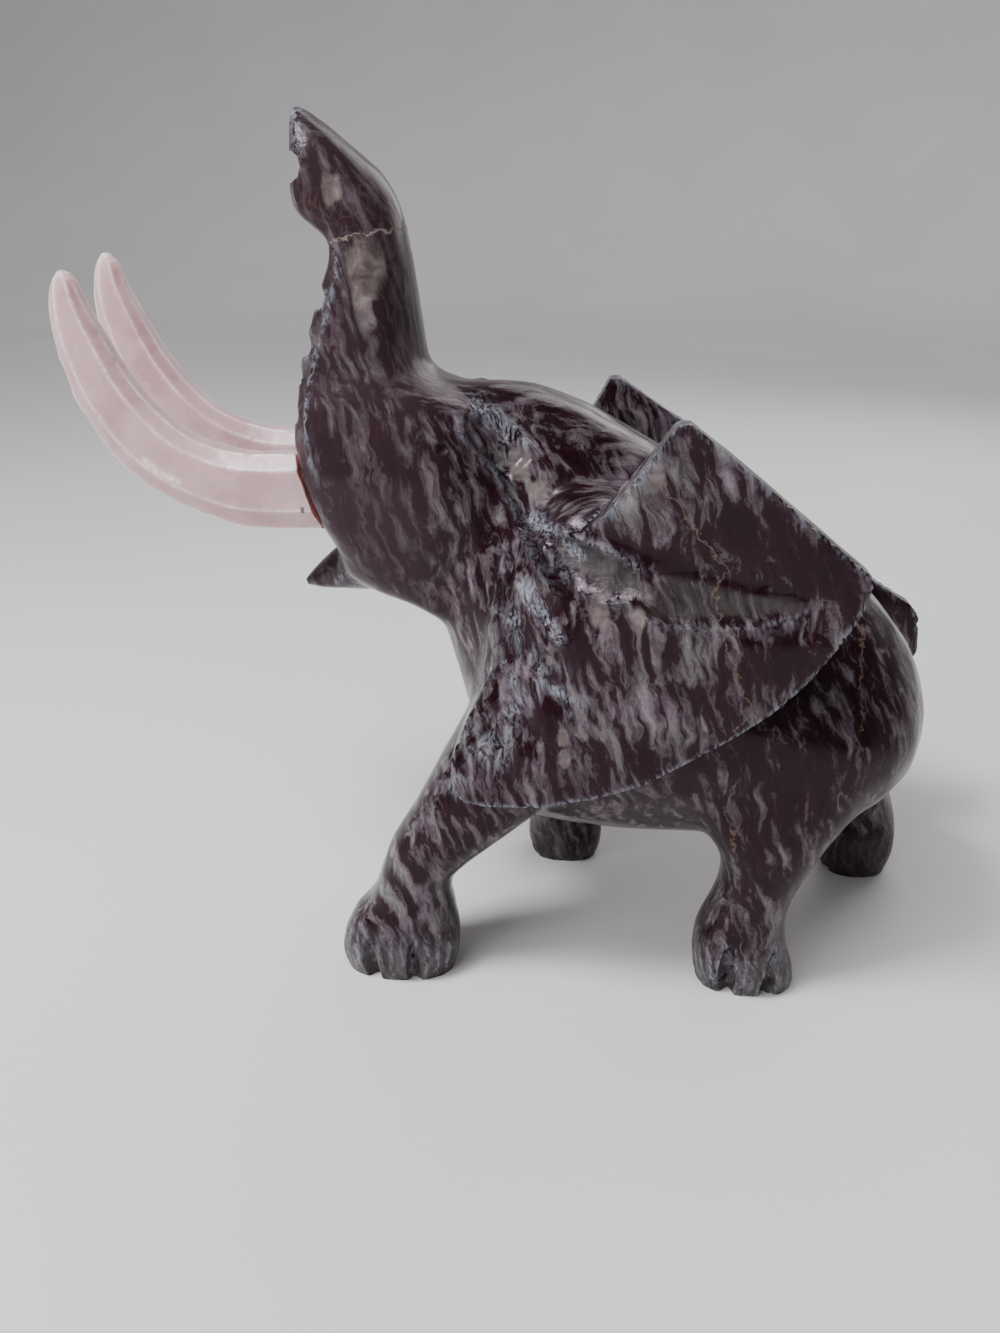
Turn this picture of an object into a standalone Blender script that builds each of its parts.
"""Carved marble elephant with its trunk raised, and two white onyx tusks glued to its face.

The animal looks toward -X and its left side is toward -Y. The floor is Z = 0.
Every table below counts in parts of the whole: 278.8 to the length, 117.1 to the width and
260 to the height of the figure.
"""

import math

import bmesh
import bpy
from mathutils import Matrix, Vector
from mathutils.geometry import delaunay_2d_cdt

# Sizes of the whole figure, and one part of each
LENGTH = 0.2788
WIDTH = 0.1171
HEIGHT = 0.26
PART_ALONG = LENGTH / 278.8
PART_ACROSS = WIDTH / 117.1
PART_UP = HEIGHT / 260.0

# The block is roughed out, blended, then thinned to these
RING_POINTS = 28
SMALL_RING_POINTS = 12
BLEND_STEP = 0.002
BLEND_PASSES = 7
BODY_FACES = 5600

# How square each mass is in section, from round (2) upward
TORSO_SQUARENESS = 2.3
LIP_SQUARENESS = 2.6
LEG_SQUARENESS = 2.5
TAIL_SQUARENESS = 2.4
EAR_ROOT_SQUARENESS = 3.0

# Origin of the tables, measured from the middle of the figure's outer box
BOX_MIDDLE_X = -43.6
BOX_MIDDLE_Y = -2.95

# Torso: position along the back, underside, top, half width, narrowing toward the top
TORSO = [
    (-78.0, 140.0, 186.0, 14.0, 0.30),
    (-70.0, 112.0, 188.8, 24.0, 0.36),
    (-61.0, 78.0, 188.8, 29.0, 0.40),
    (-53.0, 54.0, 188.8, 37.5, 0.44),
    (-44.0, 47.0, 187.6, 44.0, 0.46),
    (-28.0, 45.0, 182.0, 47.0, 0.44),
    (-6.0, 45.0, 170.0, 48.5, 0.40),
    (12.0, 46.0, 158.5, 49.0, 0.34),
    (30.0, 47.0, 147.5, 49.0, 0.30),
    (45.0, 48.5, 139.0, 48.0, 0.26),
    (56.0, 53.0, 131.5, 45.5, 0.22),
    (65.0, 60.0, 123.0, 41.0, 0.18),
    (72.0, 68.0, 114.0, 34.0, 0.12),
    (76.8, 76.0, 105.0, 24.0, 0.06),
    (79.6, 84.0, 96.0, 10.0, 0.0),
]

# Head and trunk in one column: height, front, back, half width
HEAD_AND_TRUNK = [
    (103.0, -50.0, -38.0, 18.0),
    (110.0, -58.5, -38.0, 22.0),
    (117.0, -70.0, -38.0, 25.0),
    (123.8, -85.0, -38.0, 25.0),
    (128.0, -98.0, -38.0, 24.5),
    (133.0, -104.0, -38.0, 25.5),
    (141.5, -102.0, -38.0, 28.0),
    (149.6, -106.1, -38.0, 30.0),
    (157.5, -109.4, -38.0, 30.6),
    (166.0, -111.8, -40.0, 30.6),
    (175.7, -112.8, -44.0, 29.0),
    (183.8, -111.6, -52.0, 26.5),
    (190.0, -110.9, -70.0, 23.0),
    (193.0, -110.5, -75.2, 21.4),
    (202.0, -108.4, -76.4, 18.6),
    (208.0, -106.3, -77.2, 17.6),
    (218.3, -102.4, -78.6, 16.2),
    (225.0, -100.2, -79.8, 15.4),
    (228.0, -100.6, -80.3, 15.2),
    (231.0, -106.3, -80.8, 15.0),
    (234.6, -110.7, -81.6, 14.8),
    (239.5, -111.0, -83.5, 14.4),
    (245.0, -110.6, -87.6, 13.2),
    (250.4, -110.6, -94.6, 11.6),
    (255.5, -110.8, -100.6, 9.2),
    (258.8, -111.2, -105.8, 6.0),
    (260.8, -111.4, -108.4, 4.4),
]

# The back is dressed flat along its top from this share of its height upward
BACK_FLAT_FROM = 0.93

# Tail, carved against the far side of the rump: height, position, across, half width
TAIL = [
    (106.0, 75.0, 6.0, 2.0),
    (98.0, 79.2, 8.0, 4.2),
    (88.0, 80.8, 10.0, 4.0),
    (78.0, 79.0, 12.0, 3.6),
    (68.0, 74.6, 14.0, 3.8),
    (60.0, 68.6, 15.4, 4.4),
    (55.0, 63.0, 16.0, 2.0),
]
TAIL_DEPTH = 5.0

# Section of that column: share of the depth from the front, share of the half width.
# The face and the trunk have a flat front between two bevels, and the jaw is round.
COLUMN_SECTION = [
    (0.0, 0.26),
    (0.003, 0.60),
    (0.018, 0.79),
    (0.055, 0.89),
    (0.12, 0.955),
    (0.26, 0.99),
    (0.46, 1.0),
    (0.66, 0.97),
    (0.80, 0.84),
    (0.91, 0.62),
    (0.98, 0.34),
    (1.0, 0.12),
]

JAW_SECTION = [
    (0.0, 0.16),
    (0.005, 0.26),
    (0.015, 0.36),
    (0.08, 0.62),
    (0.18, 0.84),
    (0.32, 0.96),
    (0.50, 1.0),
    (0.66, 0.97),
    (0.80, 0.84),
    (0.91, 0.62),
    (0.98, 0.34),
    (1.0, 0.12),
]
JAW_ENDS_AT = 126.0
FACE_STARTS_AT = 143.0

# Lower lip: position, underside, top, half width
LIP = [
    (-119.0, 123.4, 124.8, 1.6),
    (-113.0, 122.4, 131.2, 6.0),
    (-106.0, 123.2, 137.8, 9.0),
    (-97.0, 123.4, 141.0, 12.0),
    (-84.0, 124.0, 142.0, 13.0),
]

# Legs: height, front, back, middle across, half width
LEFT_FRONT_LEG = [
    (-3.0, -102.4, -67.6, -32.0, 11.0),
    (2.0, -104.6, -65.8, -32.2, 13.0),
    (8.0, -105.4, -64.6, -32.6, 14.4),
    (15.0, -103.4, -64.4, -33.0, 14.6),
    (21.0, -100.8, -65.6, -33.4, 14.0),
    (26.0, -95.2, -66.4, -33.6, 12.6),
    (33.0, -92.0, -67.6, -33.8, 12.0),
    (40.0, -90.0, -65.4, -33.8, 12.6),
    (48.5, -87.0, -57.0, -33.4, 14.0),
    (63.0, -78.4, -40.0, -32.4, 16.0),
    (79.0, -70.2, -24.0, -31.0, 17.0),
    (100.0, -59.0, -12.0, -28.0, 16.5),
    (118.0, -50.0, -16.0, -25.0, 14.0),
]
LEFT_HIND_LEG = [
    (-3.0, 15.4, 46.0, -30.4, 10.6),
    (2.0, 13.6, 47.0, -30.6, 12.2),
    (7.0, 12.8, 46.4, -31.2, 13.4),
    (13.3, 12.2, 43.8, -32.0, 13.8),
    (20.0, 12.8, 41.8, -32.8, 13.4),
    (25.0, 14.2, 40.8, -33.2, 12.6),
    (30.5, 16.6, 40.8, -33.4, 12.2),
    (38.8, 19.0, 42.2, -33.6, 12.6),
    (46.9, 19.2, 45.4, -33.4, 13.8),
    (53.1, 17.2, 48.4, -32.8, 15.0),
    (59.4, 12.8, 51.6, -31.8, 16.4),
    (69.1, 6.0, 58.6, -30.6, 17.4),
    (85.0, 2.0, 67.4, -28.6, 18.4),
    (106.0, 8.0, 64.0, -26.0, 16.0),
]
RIGHT_FRONT_LEG = [
    (-3.0, -42.6, -20.0, 38.6, 8.6),
    (3.0, -45.4, -17.2, 38.2, 10.6),
    (10.0, -46.4, -16.4, 37.8, 11.6),
    (20.0, -45.6, -17.0, 37.4, 11.4),
    (30.0, -44.8, -18.6, 37.0, 11.6),
    (42.0, -46.6, -16.0, 36.0, 13.0),
    (56.0, -51.0, -8.0, 33.6, 15.6),
    (75.0, -55.0, 2.0, 31.0, 17.0),
    (100.0, -53.0, 4.0, 27.0, 16.0),
]
RIGHT_HIND_LEG = [
    (-3.0, 71.4, 92.0, 38.4, 9.4),
    (3.0, 68.6, 95.0, 38.0, 11.6),
    (10.0, 67.4, 96.0, 37.6, 12.6),
    (16.0, 67.2, 95.8, 37.4, 12.8),
    (26.0, 66.0, 93.6, 37.0, 13.0),
    (37.8, 61.6, 89.6, 36.0, 13.6),
    (52.0, 51.0, 83.0, 33.6, 15.6),
    (70.0, 38.0, 76.0, 30.6, 17.0),
    (90.0, 30.0, 70.0, 27.0, 16.0),
]

# Shoulder of stone that carries each ear: position, underside, top, inner and outer side
EAR_ROOT = [
    (-56.5, 92.0, 116.0, 16.0, 38.0),
    (-51.0, 86.0, 136.0, 16.0, 43.0),
    (-43.0, 83.0, 153.0, 14.0, 46.0),
    (-33.0, 84.0, 163.0, 12.0, 48.0),
    (-21.0, 87.0, 164.0, 12.0, 50.0),
    (-6.0, 94.0, 152.0, 16.0, 50.0),
    (12.0, 100.0, 141.0, 22.0, 50.0),
    (24.0, 110.0, 134.0, 28.0, 47.0),
]

# Left ear, outer face: along, up, out. The rim runs round from the top corner.
LEFT_EAR_RIM = [
    (-6.4, 187.4, 60.5),
    (-3.2, 188.0, 60.5),
    (20.5, 169.6, 61.0),
    (43.4, 151.6, 61.5),
    (44.4, 147.6, 61.5),
    (42.4, 141.0, 61.0),
    (38.8, 132.4, 60.0),
    (32.2, 120.8, 58.8),
    (24.0, 111.0, 58.0),
    (15.3, 103.1, 57.4),
    (1.8, 93.7, 57.0),
    (-7.6, 87.5, 57.0),
    (-23.2, 80.8, 56.6),
    (-38.4, 77.0, 56.0),
    (-53.6, 75.8, 54.6),
    (-60.6, 76.6, 53.6),
    (-64.2, 80.4, 52.0),
    (-64.4, 88.0, 49.0),
    (-60.0, 99.0, 45.0),
    (-54.0, 112.0, 41.0),
    (-48.0, 127.0, 38.5),
    (-42.0, 142.0, 38.5),
    (-34.0, 153.0, 42.5),
    (-23.6, 161.0, 49.0),
    (-15.5, 173.6, 57.0),
]
LEFT_EAR_FOLDS = [
    [(-27.0, 157.6, 47.6), (-11.0, 153.4, 52.4), (3.0, 148.6, 54.6), (18.0, 141.6, 57.2), (32.0, 136.4, 59.4)],
    [(-24.0, 142.0, 52.4), (-9.0, 136.4, 57.8), (5.0, 132.6, 60.0), (19.0, 131.0, 61.0), (33.0, 131.4, 60.6)],
    [(-50.0, 112.0, 46.6), (-38.0, 118.0, 51.0), (-26.0, 117.0, 54.6), (-8.0, 110.0, 57.4), (8.0, 107.0, 58.4)],
    [(-52.0, 92.0, 52.4), (-36.0, 92.0, 56.4), (-18.0, 94.0, 57.4)],
]
# Right ear, read the same way. It is longer and hangs lower at the back.
RIGHT_EAR_RIM = [
    (-21.0, 183.6, 52.6),
    (-17.8, 184.0, 52.6),
    (4.6, 169.4, 53.0),
    (40.0, 141.8, 53.6),
    (74.0, 115.4, 54.0),
    (90.4, 105.4, 54.0),
    (93.6, 101.6, 54.0),
    (95.2, 88.0, 53.6),
    (92.0, 80.4, 53.4),
    (82.0, 75.0, 53.0),
    (62.0, 72.4, 53.6),
    (36.0, 71.4, 54.6),
    (8.0, 72.4, 55.4),
    (-20.0, 74.0, 55.4),
    (-46.0, 76.0, 54.6),
    (-59.0, 78.4, 53.0),
    (-63.0, 84.4, 50.0),
    (-62.0, 96.0, 46.0),
    (-55.0, 112.0, 41.5),
    (-49.0, 128.0, 39.0),
    (-45.0, 143.0, 38.0),
    (-40.0, 154.0, 39.5),
    (-33.0, 164.0, 43.5),
    (-27.4, 173.0, 48.0),
]
RIGHT_EAR_FOLDS = [
    [(-30.0, 158.0, 46.4), (-8.0, 152.0, 49.0), (20.0, 138.0, 50.4), (50.0, 119.0, 51.4), (76.0, 104.0, 52.4)],
    [(-26.0, 141.0, 50.4), (-4.0, 133.0, 53.8), (22.0, 122.0, 55.2), (48.0, 109.0, 55.2), (72.0, 97.0, 54.8)],
    [(-50.0, 108.0, 46.6), (-34.0, 112.0, 51.0), (-12.0, 106.0, 54.2), (16.0, 96.0, 55.6)],
]
EAR_RIM_THICKNESS = 7.4
EAR_ROOT_THICKNESS = 14.0
EAR_ROOT_ENDS_AT = -40.0
EAR_THINS_OVER = 30.0

# Chisel cuts round the front of the trunk: height, surface there, roll radius, depth
TRUNK_GROOVES = [
    (212.6, -103.4, 4.0, 1.9),
    (200.2, -108.4, 4.0, 2.8),
    (192.0, -110.6, 3.4, 2.3),
    (181.8, -112.3, 3.6, 2.7),
]
NOSTRIL_NOTCH = (245.2, -109.4, 4.2, 3.0)

# Toe cuts: where on the foot's outline, heading in degrees, height where the cut runs out
LEFT_FRONT_TOES = [(-104.6, -33.0, 184.0, 20.0), (-92.6, -44.6, 248.0, 22.0), (-79.0, -45.4, 280.0, 21.0)]
LEFT_HIND_TOES = [(13.4, -31.0, 184.0, 19.0), (23.6, -42.0, 252.0, 22.0), (36.4, -42.4, 286.0, 22.0)]
RIGHT_FRONT_TOES = [(-45.6, 34.4, 168.0, 15.0), (-45.6, 41.4, 192.0, 15.0)]
RIGHT_HIND_TOES = [(68.2, 34.0, 168.0, 15.0), (68.2, 41.4, 192.0, 15.0)]
TOE_CUT_WIDTH = 5.6
TOE_CUT_DEPTH = 3.4
TOE_NOTCH_HEIGHT = 4.6
TOE_CUT_STARTS_AT = -6.0
TOE_CUT_REACH_OUT = 7.0
TOE_CUT_RUN_OUT = -1.2
TOE_CUT_TIP_HALF = 0.5
TOE_CUT_FLARE = 2.2
# Share of the cut's depth and of its width at the floor, at the notch and where it runs out
TOE_CUT_ROWS = [(1.5, 1.3), (1.1, 1.0), (0.0, 0.5)]

# Eyes: along, up, half the head's width there, radius, depth
EYE = (-67.6, 174.4, 27.6)
EYE_RADIUS = 2.3
EYE_DEPTH = 1.8
EYE_FACING = (-0.25, 1.0, 0.1)
PIT_SIDES = 10
PIT_FLOOR_SHARE = 0.6
PIT_MOUTH_SHARE = 1.15

# Tusks: outer edge and inner edge of the side face, root first, seen from the left
TUSK_OUTER = [
    (-105.0, 148.8),
    (-122.0, 148.4),
    (-134.6, 150.0),
    (-151.0, 156.4),
    (-164.0, 166.0),
    (-173.6, 179.4),
    (-178.6, 194.0),
    (-180.2, 206.0),
    (-179.2, 214.0),
]
TUSK_INNER = [
    (-111.4, 170.8),
    (-124.0, 170.4),
    (-132.6, 171.4),
    (-143.6, 175.2),
    (-152.6, 182.6),
    (-160.4, 193.0),
    (-165.6, 203.4),
    (-169.2, 211.0),
    (-171.2, 216.6),
]
TUSK_TIP = (-175.4, 220.4)
TUSK_STEPS = 22
TUSK_SIDE = 18.4
LEFT_TUSK_REACH = 0.985
RIGHT_TUSK_REACH = 1.042
TUSK_ROOT_HALF_WIDTH = 7.2
TUSK_TIP_HALF_WIDTH = 3.6
TUSK_OUTER_BEVEL = 0.28
TUSK_INNER_BEVEL = 0.18
TUSK_EDGE_FLAT = 0.46
TUSK_TAPER = 1.3
# Rounding of the tip: share of the way to its point, share of the last section
TUSK_TIP_ROWS = [(0.45, 0.80), (0.8, 0.50), (1.0, 0.18)]

# Flat seat of a tusk in the face
GLUE_GAP = 0.3
SEAT_DEPTH = 14.0
SEAT_HALF_WIDTH = 10.0
SEAT_HALF_HEIGHT = 13.0

# Points closer than this are one point, and faces narrower than this are dropped
MERGE_GAP = 0.00004
SLIVER = 0.00002

# Stone colours
MARBLE_COLOUR = (0.055, 0.042, 0.048, 1.0)
ONYX_COLOUR = (0.86, 0.80, 0.79, 1.0)


def material(name, colour, roughness):
    made = bpy.data.materials.new(name)
    made.use_nodes = True
    shader = made.node_tree.nodes["Principled BSDF"]
    shader.inputs["Base Color"].default_value = colour
    shader.inputs["Roughness"].default_value = roughness
    made.diffuse_color = colour
    return made


def to_metres(x, y, z):
    """A point of the tables, moved so that the figure's outer box stands over the origin."""
    return Vector(((x - BOX_MIDDLE_X) * PART_ALONG, (y - BOX_MIDDLE_Y) * PART_ACROSS, z * PART_UP))


def mesh_object(name, points, faces):
    mesh = bpy.data.meshes.new(name)
    mesh.from_pydata([tuple(p) for p in points], [], faces)
    mesh.update()
    made = bpy.data.objects.new(name, mesh)
    bpy.context.scene.collection.objects.link(made)
    face_outward(made)
    return made


def face_outward(made):
    """Turns every face outward, and the whole shell over if it encloses less than nothing."""
    shell = bmesh.new()
    shell.from_mesh(made.data)
    bmesh.ops.recalc_face_normals(shell, faces=shell.faces[:])
    if shell.calc_volume(signed=True) < 0:
        bmesh.ops.reverse_faces(shell, faces=shell.faces[:])
    shell.to_mesh(made.data)
    shell.free()


def loft(rings):
    """Points and faces of a closed skin over rings of equal length, with a flat cap at each end."""
    count = len(rings[0])
    points = [p for ring in rings for p in ring]
    faces = []
    for lower in range(len(rings) - 1):
        for here in range(count):
            after = (here + 1) % count
            faces.append((lower * count + here, lower * count + after,
                          (lower + 1) * count + after, (lower + 1) * count + here))
    faces.append(tuple(range(count))[::-1])
    last = (len(rings) - 1) * count
    faces.append(tuple(last + here for here in range(count)))
    return points, faces


def interpolate(table, position):
    """A row of a table at any position between its rows, by a smooth cubic through them."""
    last = len(table) - 1
    index = min(int(position), last - 1)
    share = position - index
    row = []
    for column in range(len(table[0])):
        a = table[max(index - 1, 0)][column]
        b = table[index][column]
        c = table[index + 1][column]
        d = table[min(index + 2, last)][column]
        row.append(0.5 * (2 * b + (c - a) * share + (2 * a - 5 * b + 4 * c - d) * share ** 2
                          + (3 * b - a - 3 * c + d) * share ** 3))
    return row


def rounded(angle, squareness):
    """A point on a unit outline between a circle (2) and a square."""
    c, s = math.cos(angle), math.sin(angle)
    power = 2.0 / squareness
    return math.copysign(abs(c) ** power, c), math.copysign(abs(s) ** power, s)


def torso_shell():
    rings = []
    for x, low, high, half, narrowing in TORSO:
        ring = []
        for step in range(RING_POINTS):
            c, s = rounded(2 * math.pi * step / RING_POINTS, TORSO_SQUARENESS)
            width = half * c * (1 - narrowing * max(s, 0.0))
            s = min(s / BACK_FLAT_FROM, 1.0) if s > 0 else s
            ring.append(to_metres(x, width, (low + high) / 2 + (high - low) / 2 * s))
        rings.append(ring)
    return loft(rings)


def column_shell():
    rings = []
    for z, front, back, half in HEAD_AND_TRUNK:
        share = min(max((z - JAW_ENDS_AT) / (FACE_STARTS_AT - JAW_ENDS_AT), 0.0), 1.0)
        section = [(a + (c - a) * share, b + (d - b) * share)
                   for (a, b), (c, d) in zip(JAW_SECTION, COLUMN_SECTION)]
        outline = [(u, -v) for u, v in section] + [(u, v) for u, v in reversed(section)]
        rings.append([to_metres(front + (back - front) * u, half * v, z) for u, v in outline])
    return loft(rings)


def lip_shell():
    rings = []
    for x, low, high, half in LIP:
        ring = []
        for step in range(SMALL_RING_POINTS):
            c, s = rounded(2 * math.pi * step / SMALL_RING_POINTS, LIP_SQUARENESS)
            ring.append(to_metres(x, half * c, (low + high) / 2 + (high - low) / 2 * s))
        rings.append(ring)
    return loft(rings)


def leg_shell(table):
    rings = []
    for z, front, back, across, half in table:
        ring = []
        for step in range(RING_POINTS):
            c, s = rounded(2 * math.pi * step / RING_POINTS, LEG_SQUARENESS)
            ring.append(to_metres((front + back) / 2 + (back - front) / 2 * c, across + half * s, z))
        rings.append(ring)
    return loft(rings)


def tail_shell():
    rings = []
    for z, x, across, half in TAIL:
        ring = []
        for step in range(SMALL_RING_POINTS):
            c, s = rounded(2 * math.pi * step / SMALL_RING_POINTS, TAIL_SQUARENESS)
            ring.append(to_metres(x + TAIL_DEPTH / 2 * c, across + half * s, z))
        rings.append(ring)
    return loft(rings)


def ear_root_shell(side):
    rings = []
    for x, low, high, inner, outer in EAR_ROOT:
        ring = []
        for step in range(RING_POINTS):
            c, s = rounded(2 * math.pi * step / RING_POINTS, EAR_ROOT_SQUARENESS)
            across = (inner + outer) / 2 + (outer - inner) / 2 * c
            ring.append(to_metres(x, side * across, (low + high) / 2 + (high - low) / 2 * s))
        rings.append(ring)
    return loft(rings)


def ear_thickness(x):
    """Thin at the free rim, and thick where the ear grows out of the head."""
    share = min(max((x - EAR_ROOT_ENDS_AT) / EAR_THINS_OVER, 0.0), 1.0)
    return EAR_ROOT_THICKNESS + (EAR_RIM_THICKNESS - EAR_ROOT_THICKNESS) * share


def ear_object(name, rim, folds, side):
    """A slab whose outer face is broken along its folds, with a flat inner face and a cut edge."""
    points = list(rim)
    edges = [(here, (here + 1) % len(rim)) for here in range(len(rim))]
    for fold in folds:
        first = len(points)
        points += fold
        edges += [(first + step, first + step + 1) for step in range(len(fold) - 1)]
    flat = [Vector((x, z)) for x, z, _ in points]
    made = delaunay_2d_cdt(flat, edges, [list(range(len(rim)))], 1, 0.01)
    places, triangles, origins = made[0], made[2], made[3]
    outward = [points[origins[index][0]][2] for index in range(len(places))]
    outer = [to_metres(p.x, side * out, p.y) for p, out in zip(places, outward)]
    inner = [to_metres(p.x, side * (out - ear_thickness(p.x)), p.y) for p, out in zip(places, outward)]
    count = len(places)
    faces = [tuple(t) for t in triangles]
    faces += [tuple(count + index for index in reversed(t)) for t in triangles]
    used = {}
    for t in triangles:
        for here in range(len(t)):
            pair = (t[here], t[(here + 1) % len(t)])
            if (pair[1], pair[0]) in used:
                del used[(pair[1], pair[0])]
            else:
                used[pair] = True
    for a, b in used:
        faces.append((b, a, count + a, count + b))
    return mesh_object(name, outer + inner, faces)


def roll_cutter(name, z, x, radius, half_length):
    """A roll laid across the trunk, whose near side takes out one groove."""
    rings = []
    for end in (-half_length, half_length):
        turns = [2 * math.pi * step / PIT_SIDES for step in range(PIT_SIDES)]
        rings.append([to_metres(x + radius * math.cos(t), end, z + radius * math.sin(t)) for t in turns])
    return mesh_object(name, *loft(rings))


def toe_cutter(name, x, y, heading, run_out):
    """A wedge that stands on the floor, deepest below, and leaves one groove between two toes."""
    turn = math.radians(heading)
    inward = Vector((-math.cos(turn), -math.sin(turn)))
    along = Vector((-inward.y, inward.x))
    edge = Vector((x, y))
    heights = (TOE_CUT_STARTS_AT, TOE_NOTCH_HEIGHT, run_out)
    rings = []
    for z, (deepening, widening) in zip(heights, TOE_CUT_ROWS):
        depth = TOE_CUT_DEPTH * deepening if deepening else TOE_CUT_RUN_OUT
        half = TOE_CUT_WIDTH / 2 * widening * TOE_CUT_FLARE
        tip = edge + inward * depth
        outside = edge - inward * TOE_CUT_REACH_OUT
        a = outside + along * half
        b = outside - along * half
        c = tip - along * TOE_CUT_TIP_HALF
        d = tip + along * TOE_CUT_TIP_HALF
        rings.append([to_metres(p.x, p.y, z) for p in (a, b, c, d)])
    return mesh_object(name, *loft(rings))


def pit_cutter(name, centre, normal, radius, depth):
    """A short drum, sunk by the depth along the normal, for a drilled pit."""
    normal = normal.normalized()
    side_a = normal.orthogonal().normalized()
    side_b = normal.cross(side_a)
    rings = []
    for shift, share in ((-depth, PIT_FLOOR_SHARE), (depth * 2, PIT_MOUTH_SHARE)):
        ring = []
        for step in range(PIT_SIDES):
            turn = 2 * math.pi * step / PIT_SIDES
            rim = (side_a * math.cos(turn) + side_b * math.sin(turn)) * radius * share
            ring.append(to_metres(*(centre + normal * shift + rim)))
        rings.append(ring)
    return mesh_object(name, *loft(rings))


def box_object(name, low, high, turn=Matrix.Identity(4)):
    """A block between two corners of the tables, turned before it is placed."""
    corners = [turn @ Vector((x, y, z)) for z in (low[2], high[2]) for x, y in
               ((low[0], low[1]), (high[0], low[1]), (high[0], high[1]), (low[0], high[1]))]
    corners = [to_metres(*corner) for corner in corners]
    return mesh_object(name, *loft([corners[:4], corners[4:]]))


def tusk_rows(reach):
    """Outer edge, inner edge and half width at each step along the tusk."""
    rows = []
    root = (Vector(TUSK_OUTER[0]) + Vector(TUSK_INNER[0])) / 2
    last = len(TUSK_OUTER) - 1
    for step in range(TUSK_STEPS + 1):
        position = last * step / TUSK_STEPS
        outer = Vector(interpolate(TUSK_OUTER, position))
        inner = Vector(interpolate(TUSK_INNER, position))
        share = step / TUSK_STEPS
        half = TUSK_ROOT_HALF_WIDTH + (TUSK_TIP_HALF_WIDTH - TUSK_ROOT_HALF_WIDTH) * share ** TUSK_TAPER
        middle = (outer + inner) / 2
        shift = (middle - root) * (reach - 1)
        rows.append((outer + shift, inner + shift, half))
    return rows


def tusk_ring(outer, inner, half, side):
    """Eight corners: flat sides, a wide outer bevel and a narrow inner one."""
    across = inner - outer
    edge = half * TUSK_EDGE_FLAT
    corners = [
        (0.0, -edge),
        (TUSK_OUTER_BEVEL, -half),
        (1 - TUSK_INNER_BEVEL, -half),
        (1.0, -edge),
        (1.0, edge),
        (1 - TUSK_INNER_BEVEL, half),
        (TUSK_OUTER_BEVEL, half),
        (0.0, edge),
    ]
    ring = []
    for share, out in corners:
        p = outer + across * share
        ring.append(to_metres(p.x, side * TUSK_SIDE + out, p.y))
    return ring


def seat_turn():
    """How far the glued end of a tusk leans from upright."""
    low, high = Vector(TUSK_OUTER[0]), Vector(TUSK_INNER[0])
    return math.atan2(high.x - low.x, high.y - low.y)


def tusk_object(name, side, reach):
    rows = tusk_rows(reach)
    rings = [tusk_ring(outer, inner, half, side) for outer, inner, half in rows]
    outer, inner, half = rows[-1]
    root = (Vector(TUSK_OUTER[0]) + Vector(TUSK_INNER[0])) / 2
    tip = root + (Vector(TUSK_TIP) - root) * reach
    for share, shrink in TUSK_TIP_ROWS:
        middle = (outer + inner) / 2
        centre = middle + (tip - middle) * share
        reach = (outer - inner) / 2 * shrink
        rings.append(tusk_ring(centre + reach, centre - reach, half * (0.3 + 0.7 * shrink), side))
    return mesh_object(name, *loft(rings))


def apply_all(made):
    """Replaces an object's mesh by what its modifiers make of it."""
    graph = bpy.context.evaluated_depsgraph_get()
    mesh = bpy.data.meshes.new_from_object(made.evaluated_get(graph))
    made.modifiers.clear()
    made.data = mesh


def combine(made, tool, operation):
    step = made.modifiers.new(operation.title(), "BOOLEAN")
    step.operation = operation
    step.solver = "EXACT"
    step.object = tool
    apply_all(made)
    bpy.data.objects.remove(tool)


def tidy(made):
    """Merges points that lie together and drops faces with no area."""
    shell = bmesh.new()
    shell.from_mesh(made.data)
    bmesh.ops.remove_doubles(shell, verts=shell.verts[:], dist=MERGE_GAP)
    bmesh.ops.dissolve_degenerate(shell, edges=shell.edges[:], dist=SLIVER)
    bmesh.ops.triangulate(shell, faces=shell.faces[:])
    shell.to_mesh(made.data)
    shell.free()


# Start from an empty scene
for old in list(bpy.data.objects):
    bpy.data.objects.remove(old)

marble = material("Banded marble", MARBLE_COLOUR, 0.25)
onyx = material("White onyx", ONYX_COLOUR, 0.30)

# Rough out the body and let its masses run into each other
all_points, all_faces = [], []
shells = [torso_shell(), column_shell(), lip_shell(), tail_shell(), ear_root_shell(-1.0), ear_root_shell(1.0)]
for leg in (LEFT_FRONT_LEG, LEFT_HIND_LEG, RIGHT_FRONT_LEG, RIGHT_HIND_LEG):
    shells.append(leg_shell(leg))
for points, faces in shells:
    start = len(all_points)
    all_points += points
    all_faces += [tuple(start + index for index in face) for face in faces]
elephant = mesh_object("stone_elephant", all_points, all_faces)

blend = elephant.modifiers.new("Blend", "REMESH")
blend.mode = "VOXEL"
blend.voxel_size = BLEND_STEP
smooth = elephant.modifiers.new("Smooth", "SMOOTH")
smooth.factor = 0.5
smooth.iterations = BLEND_PASSES
apply_all(elephant)
thin = elephant.modifiers.new("Thin", "DECIMATE")
elephant.data.calc_loop_triangles()
thin.ratio = BODY_FACES / len(elephant.data.loop_triangles)
apply_all(elephant)

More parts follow.
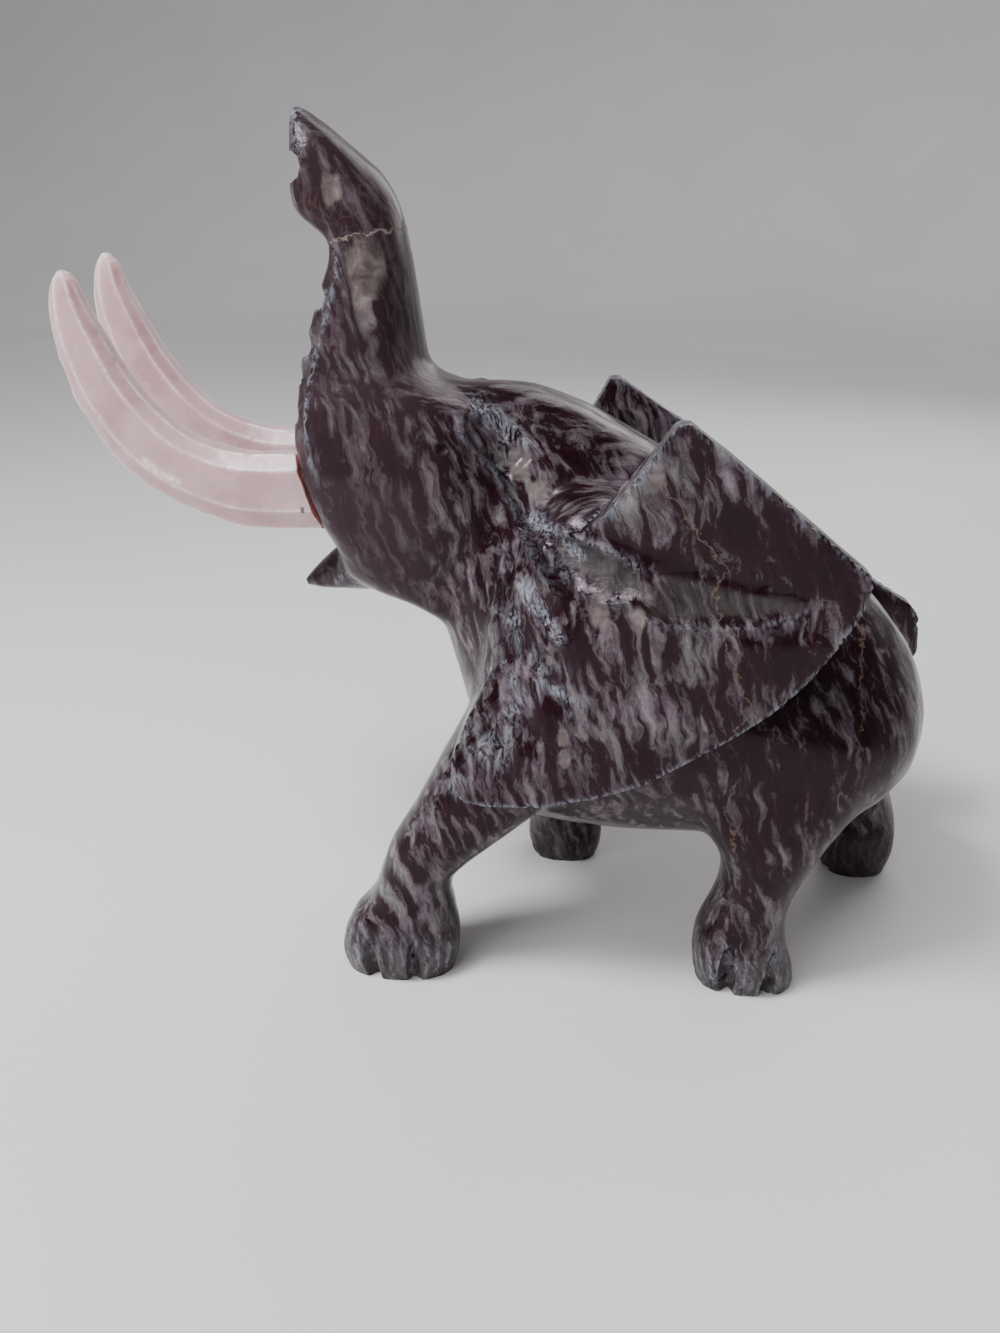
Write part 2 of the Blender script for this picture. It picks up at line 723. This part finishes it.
# Ears, with crisp cut rims
combine(elephant, ear_object("left_ear", LEFT_EAR_RIM, LEFT_EAR_FOLDS, -1.0), "UNION")
combine(elephant, ear_object("right_ear", RIGHT_EAR_RIM, RIGHT_EAR_FOLDS, 1.0), "UNION")

# Flat soles
wide = TORSO[-1][0] - TUSK_TIP[0]
combine(elephant, box_object("floor_block", (-wide, -wide, -wide), (wide, wide, 0.0)), "DIFFERENCE")

# Chisel cuts
cut_half = max(half for z, front, back, half in HEAD_AND_TRUNK)
for z, x, radius, depth in TRUNK_GROOVES + [NOSTRIL_NOTCH]:
    combine(elephant, roll_cutter("roll", z, x - radius + depth, radius, cut_half), "DIFFERENCE")
for x, y, heading, run_out in LEFT_FRONT_TOES + LEFT_HIND_TOES + RIGHT_FRONT_TOES + RIGHT_HIND_TOES:
    combine(elephant, toe_cutter("toe", x, y, heading, run_out), "DIFFERENCE")
for side in (-1.0, 1.0):
    x, z, out = EYE
    ahead, outward, up = EYE_FACING
    facing = Vector((ahead, side * outward, up))
    pit = pit_cutter("eye", Vector((x, side * out, z)), facing, EYE_RADIUS, EYE_DEPTH)
    combine(elephant, pit, "DIFFERENCE")

# Flat seats that the tusks are glued to
low, high = Vector(TUSK_OUTER[0]), Vector(TUSK_INNER[0])
middle = (low + high) / 2
lean = Matrix.Rotation(seat_turn(), 4, "Y")
for side in (-1.0, 1.0):
    seat_at = Matrix.Translation((middle.x, side * TUSK_SIDE, middle.y)) @ lean
    low_corner = (-SEAT_DEPTH, -SEAT_HALF_WIDTH, -SEAT_HALF_HEIGHT)
    high_corner = (GLUE_GAP, SEAT_HALF_WIDTH, SEAT_HALF_HEIGHT)
    seat = box_object("seat", low_corner, high_corner, seat_at)
    combine(elephant, seat, "DIFFERENCE")
tidy(elephant)
elephant.data.materials.clear()
elephant.data.materials.append(marble)

# Tusks
for name, side, reach in (("tusk_left", -1.0, LEFT_TUSK_REACH), ("tusk_right", 1.0, RIGHT_TUSK_REACH)):
    tusk = tusk_object(name, side, reach)
    tusk.data.materials.append(onyx)
